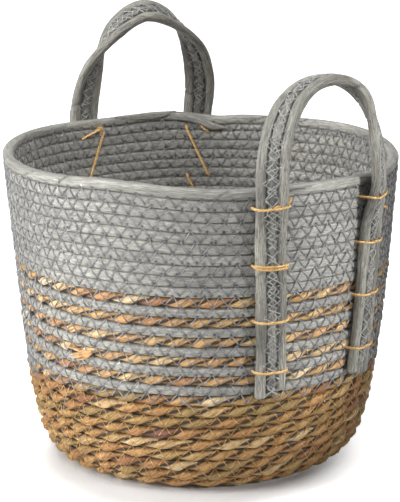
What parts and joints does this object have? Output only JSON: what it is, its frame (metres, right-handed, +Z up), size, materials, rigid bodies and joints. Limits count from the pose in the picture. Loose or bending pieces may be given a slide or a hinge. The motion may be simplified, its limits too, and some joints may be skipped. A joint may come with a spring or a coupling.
{
  "type": "basket",
  "caption": "Round open storage basket coiled from natural and grey rope, with a striped band, a rounded heel, a wrapped rim and strap handles tied to its outside.",
  "frame": {"origin": "on the floor, at the middle of the base's flat underside", "axes": "+Z up the basket's middle axis, -Y towards the front of the picture, +X to its right"},
  "size_m": [0.3766, 0.4029, 0.4121],
  "materials": {
    "natural_rope": "matte twisted leaf rope",
    "stripe_rope": "matte twisted leaf rope",
    "grey_cord": "matte stitched fibre cord",
    "rim_wrap": "matte fibre wrap",
    "strap_cord": "matte stitched fibre cord",
    "tie_twine": "matte two-ply twine"
  },
  "bodies": {
    "basket": {"base_coil": "natural_rope", "lower_wall_coil": "natural_rope", "stripe_rope_coil": "stripe_rope", "grey_wall_coil": "grey_cord", "rim_cord": "rim_wrap", "front_handle_left_leg_inner_cord": "strap_cord", "front_handle_right_leg_inner_cord": "strap_cord", "front_handle_left_leg_middle_cord": "strap_cord", "front_handle_right_leg_middle_cord": "strap_cord", "front_handle_left_leg_outer_cord": "strap_cord", "front_handle_right_leg_outer_cord": "strap_cord", "front_handle_left_tie_1": "tie_twine", "front_handle_left_tie_2": "tie_twine", "front_handle_left_tie_3": "tie_twine", "front_handle_left_tie_4": "tie_twine", "front_handle_left_inner_run_1": "tie_twine", "front_handle_left_inner_run_2": "tie_twine", "front_handle_right_tie_1": "tie_twine", "front_handle_right_tie_2": "tie_twine", "front_handle_right_tie_3": "tie_twine", "front_handle_right_tie_4": "tie_twine", "front_handle_right_inner_run_1": "tie_twine", "front_handle_right_inner_run_2": "tie_twine", "back_handle_left_leg_inner_cord": "strap_cord", "back_handle_right_leg_inner_cord": "strap_cord", "back_handle_left_leg_middle_cord": "strap_cord", "back_handle_right_leg_middle_cord": "strap_cord", "back_handle_left_leg_outer_cord": "strap_cord", "back_handle_right_leg_outer_cord": "strap_cord", "back_handle_left_tie_1": "tie_twine", "back_handle_left_tie_2": "tie_twine", "back_handle_left_tie_3": "tie_twine", "back_handle_left_tie_4": "tie_twine", "back_handle_left_inner_run_1": "tie_twine", "back_handle_left_inner_run_2": "tie_twine", "back_handle_right_tie_1": "tie_twine", "back_handle_right_tie_2": "tie_twine", "back_handle_right_tie_3": "tie_twine", "back_handle_right_tie_4": "tie_twine", "back_handle_right_inner_run_1": "tie_twine", "back_handle_right_inner_run_2": "tie_twine"},
    "front_handle_arch": {"front_handle_arch_inner_cord": "strap_cord", "front_handle_arch_middle_cord": "strap_cord", "front_handle_arch_outer_cord": "strap_cord"},
    "back_handle_arch": {"back_handle_arch_inner_cord": "strap_cord", "back_handle_arch_middle_cord": "strap_cord", "back_handle_arch_outer_cord": "strap_cord"}
  },
  "joints": [
    {"name": "front_handle_bend", "type": "hinge", "parent": "basket", "child": "front_handle_arch", "pos_m": [0.10855, -0.15389, 0.311], "axis": [0.8171, 0.5764, 0], "range_deg": [-30, 35], "stiffness_Nm_per_rad": 0.25},
    {"name": "back_handle_bend", "type": "hinge", "parent": "basket", "child": "back_handle_arch", "pos_m": [-0.06117, 0.17566, 0.311], "axis": [-0.9444, -0.3289, 0], "range_deg": [-30, 35], "stiffness_Nm_per_rad": 0.25}
  ]
}
